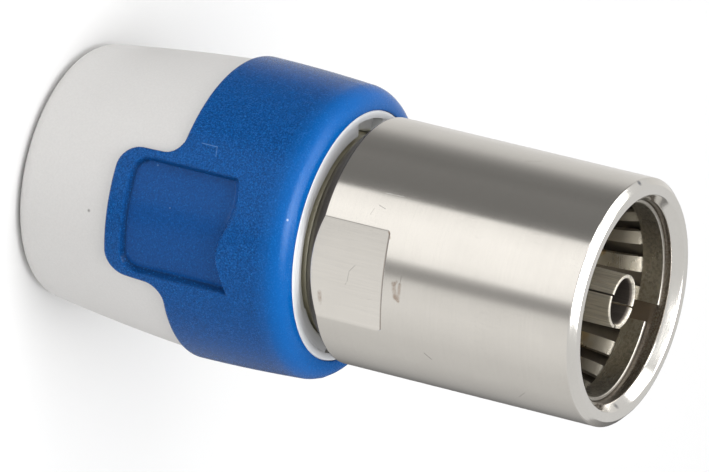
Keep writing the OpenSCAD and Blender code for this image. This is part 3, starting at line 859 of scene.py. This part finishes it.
BLUE = plastic_material("blue_grip", (0.0004, 0.095, 0.372), (0.0004, 0.088, 0.348), 0.25, 0.40,
                        [(on_shell(-0.3, 16.10, 7.45), 0.085, (0.55, 0.66, 0.85), 0.9, (1, 1, 1)),
                         (on_shell(8.5, 8.14, 7.45), 0.06, SCUFF, 0.6, (1, 1, 1)),
                         (on_shell(-6.7, 9.41, 7.45), 0.05, SCUFF, 0.5, (1, 1, 1))],
                        [(on_shell(20.0, 10.36, 7.98), on_shell(20.0, 11.25, 7.97), 0.035, SCUFF, 0.50),
                         (on_shell(20.0, 11.25, 7.97), on_shell(16.3, 11.38, 7.97), 0.030, SCUFF, 0.45),
                         (on_shell(-118.0, 12.2, 7.95), on_shell(-124.0, 13.0, 7.93), 0.030, SCUFF, 0.4)], 0.20, 0.80, True, tint=(0.80, 0.92, 1.0))
IVORY = plastic_material("ivory_insulator", (0.62, 0.58, 0.46), (0.57, 0.53, 0.42), 0.45, 0.1)
RUBBER = plastic_material("black_seal", (0.020, 0.020, 0.020), (0.014, 0.014, 0.014), 0.6, 0.3)


def stand_for(ob, node, body, mat):
    set_material(ob, mat)
    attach(ob, body)
    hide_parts(node)


stand_for(build_grip(), "grip_collar", "cap", BLUE)
stand_for(build_cap(), "cap_sleeve", "cap", WHITE)
stand_for(build_shell(), "outer_shell", "socket", NICKEL)
stand_for(build_spring(), "contact_spring", "socket", SPRING)
tube, stem = build_contact()
for part in (tube, stem):
    set_material(part, TUBE)
    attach(part, "socket")
    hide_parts("centre_contact")
stand_for(build_neck(), "threaded_neck", "socket", NICKEL_NECK)
for name, mat in (("contact_insulator", IVORY), ("wire_guide", IVORY), ("clamp_collet", IVORY), ("braid_post", NICKEL_DULL),
                  ("thrust_washer", NICKEL_DULL), ("cable_seal", RUBBER)):
    set_material(nodes[name], mat)

# ---------------------------------------------------------------------------
# stage, light and camera
# ---------------------------------------------------------------------------
scene = bpy.context.scene
scene.view_settings.view_transform = "Standard"


def stage_object(name, verts, faces, mat):
    me = bpy.data.meshes.new(name)
    me.from_pydata(verts, [], faces)
    me.update()
    ob = bpy.data.objects.new(name, me)
    scene.collection.objects.link(ob)
    me.materials.append(mat)
    return ob


floor_mat = bpy.data.materials.new("pale_floor")
floor_mat.use_nodes = True
fb = floor_mat.node_tree.nodes["Principled BSDF"]
fb.inputs["Base Color"].default_value = (0.92, 0.92, 0.92, 1)
fb.inputs["Roughness"].default_value = 0.7
g = 3.0
stage_object("floor", [(-g, -g, 0), (g, -g, 0), (g, g, 0), (-g, g, 0)], [(0, 1, 2, 3)], floor_mat)

# ring of soft reflectors around the part, seen only in its gloss
ring_mat = bpy.data.materials.new("reflector_ring")
ring_mat.use_nodes = True
rt = ring_mat.node_tree
rt.nodes.clear()
ro_ = rt.nodes.new("ShaderNodeOutputMaterial")
em = rt.nodes.new("ShaderNodeEmission")
rt.links.new(em.outputs[0], ro_.inputs[0])
tc = rt.nodes.new("ShaderNodeTexCoord")
sep = rt.nodes.new("ShaderNodeSeparateXYZ")
rt.links.new(tc.outputs["Object"], sep.inputs[0])
at = rt.nodes.new("ShaderNodeMath")
at.operation = "ARCTAN2"
rt.links.new(sep.outputs["Y"], at.inputs[0])
rt.links.new(sep.outputs["X"], at.inputs[1])
mr = rt.nodes.new("ShaderNodeMapRange")
rt.links.new(at.outputs[0], mr.inputs["Value"])
mr.inputs["From Min"].default_value = -math.pi
mr.inputs["From Max"].default_value = math.pi
cr_ = rt.nodes.new("ShaderNodeValToRGB")
rt.links.new(mr.outputs[0], cr_.inputs[0])
rt.links.new(cr_.outputs[0], em.inputs["Color"])
# brightness by the angle above the camera side: the shell mirrors twice its own angle
BANDS = [(-180, 0.10), (-160, 0.22), (-148, 0.36), (-136, 0.475), (-112, 0.616), (-88, 0.67), (-68, 0.775), (-52, 0.836), (-36, 0.80), (-30, 0.70), (-25, 0.36), (-19, 0.34),
         (-14, 0.58), (-11, 1.0), (-8, 1.06), (0, 1.14), (24, 1.195), (41, 1.06), (43, 1.03), (45.5, 0.22), (56, 0.19), (80, 0.21), (92, 0.19),
         (103, 0.215), (110, 0.28), (117, 0.40), (124, 0.56), (130, 0.635), (140, 0.70), (168, 0.80), (180, 0.55)]

# the ring stands close, so a ray that leaves the shell's side meets it a little earlier
RING_AT = [b[0] - (0.0 if abs(b[0]) == 180 else math.degrees(math.asin(SHELL_R / 34.0 * math.sin(b[0] * D2R / 2)))) for b in BANDS]


def ring_level(phi):
    """Level at an angle about +Z; angles above the camera side run the other way round."""
    th = (NEAR - phi + 180.0) % 360.0 - 180.0
    return float(np.interp(th, RING_AT, [b[1] for b in BANDS]))


stops = sorted({round((NEAR - b[0] + 180.0) % 360.0 - 180.0, 3) for b in zip(RING_AT) if b[0] > -180} | {-180.0, 180.0})
el = cr_.color_ramp.elements
while len(el) < len(stops):
    el.new(0.5)
for e_, a_ in zip(el, stops):
    e_.position = (a_ + 180.0) / 360.0
    v_ = ring_level(a_) / 2.0
    e_.color = (v_, v_ * 0.985, v_ * 0.965, 1)
em.inputs["Strength"].default_value = 2.0
seg = 96
rv, rf = [], []
for i in range(seg):
    a_ = 2 * math.pi * i / seg
    rv += [(0.034 * math.cos(a_), 0.034 * math.sin(a_), 0.0005), (0.034 * math.cos(a_), 0.034 * math.sin(a_), 0.038),
           (0.009 * math.cos(a_), 0.009 * math.sin(a_), 0.0004)]
for i in range(seg):
    j = (i + 1) % seg
    rf.append((3 * i, 3 * i + 1, 3 * j + 1, 3 * j))
    rf.append((3 * i, 3 * j, 3 * j + 2, 3 * i + 2))
ring = stage_object("reflector_ring", rv, rf, ring_mat)
ring.visible_camera = False
ring.visible_diffuse = False
ring.visible_shadow = False
ring.visible_transmission = False
ring.visible_volume_scatter = False

world = bpy.data.worlds.new("studio")
scene.world = world
world.use_nodes = True
bg = world.node_tree.nodes["Background"]
bg.inputs["Color"].default_value = (1.0, 1.0, 1.0, 1)
# the studio walls look a little brighter in the gloss than the light they give
path = world.node_tree.nodes.new("ShaderNodeLightPath")
walls = world.node_tree.nodes.new("ShaderNodeMapRange")
walls.inputs["To Min"].default_value = 0.588
walls.inputs["To Max"].default_value = 0.71
world.node_tree.links.new(path.outputs["Is Glossy Ray"], walls.inputs["Value"])
world.node_tree.links.new(walls.outputs["Result"], bg.inputs["Strength"])


def area(name, where, size, power, target=(0, 0, 0.016), colour=(1, 1, 1)):
    l = bpy.data.lights.new(name, "AREA")
    l.shape = "DISK"
    l.size = size
    l.energy = power
    l.color = colour
    o = bpy.data.objects.new(name, l)
    scene.collection.objects.link(o)
    o.location = where
    o.rotation_euler = (Vector(where) - Vector(target)).to_track_quat("Z", "Y").to_euler()
    return o


near = Vector((math.cos(NEAR * D2R), math.sin(NEAR * D2R), 0))
up = Vector((math.cos((NEAR - 90) * D2R), math.sin((NEAR - 90) * D2R), 0))
area("overhead", tuple(near * 0.16 + Vector((0, 0, 0.53))), 0.35, 1.8)
area("key", tuple(near * 0.35 + up * 0.45 + Vector((0, 0, 0.30))), 0.30, 0.45)
# highlights on the rounded edges and the rim, seen only in the gloss
spark = area("highlight", tuple(near * 0.03 + up * 0.12 + Vector((0, 0, 0.55))), 0.60, 3.8)
panel = area("rim_panel", tuple(up * 0.50 - near * 0.05 + Vector((0, 0, 0.30))), 0.40, 0.75)
for o in (spark, panel):
    o.visible_diffuse = False

# camera: position solved from the photo's edges
F_PX = 10108.0
TH, PH = 25.7 * D2R, 13.8 * D2R
U0, V0, SCALE = 632.6, 304.0, 19.714
axis_c = Vector((math.cos(TH) * math.cos(PH), math.cos(TH) * math.sin(PH), -math.sin(TH)))
dist = F_PX / SCALE
front_c = Vector(((U0 - 354.5) * dist / F_PX, (V0 - 236.0) * dist / F_PX, dist))
to_cam = -front_c.normalized()
near_c = (to_cam - axis_c * to_cam.dot(axis_c)).normalized()
up_c = -axis_c.cross(near_c)
# rows of the rotation from the part's frame to the camera's (x right, y down, z ahead)
model = Matrix((Vector((0, 0, 1)), near, up)).transposed()
seen = Matrix((axis_c, near_c, up_c)).transposed()
rot = seen @ model.transposed()
origin_c = front_c - axis_c * TOTAL_L
cam_pos = -(rot.transposed() @ origin_c) * MM
cam_rot = rot.transposed() @ Matrix(((1, 0, 0), (0, -1, 0), (0, 0, -1)))
cam_data = bpy.data.cameras.new("camera")
cam_data.sensor_fit = "HORIZONTAL"
cam_data.sensor_width = 36.0
cam_data.lens = F_PX / 709.0 * 36.0
cam_data.clip_start = 0.01
cam_data.clip_end = 20.0
cam = bpy.data.objects.new("camera", cam_data)
scene.collection.objects.link(cam)
cam.matrix_world = Matrix.Translation(cam_pos) @ cam_rot.to_4x4()
scene.camera = cam
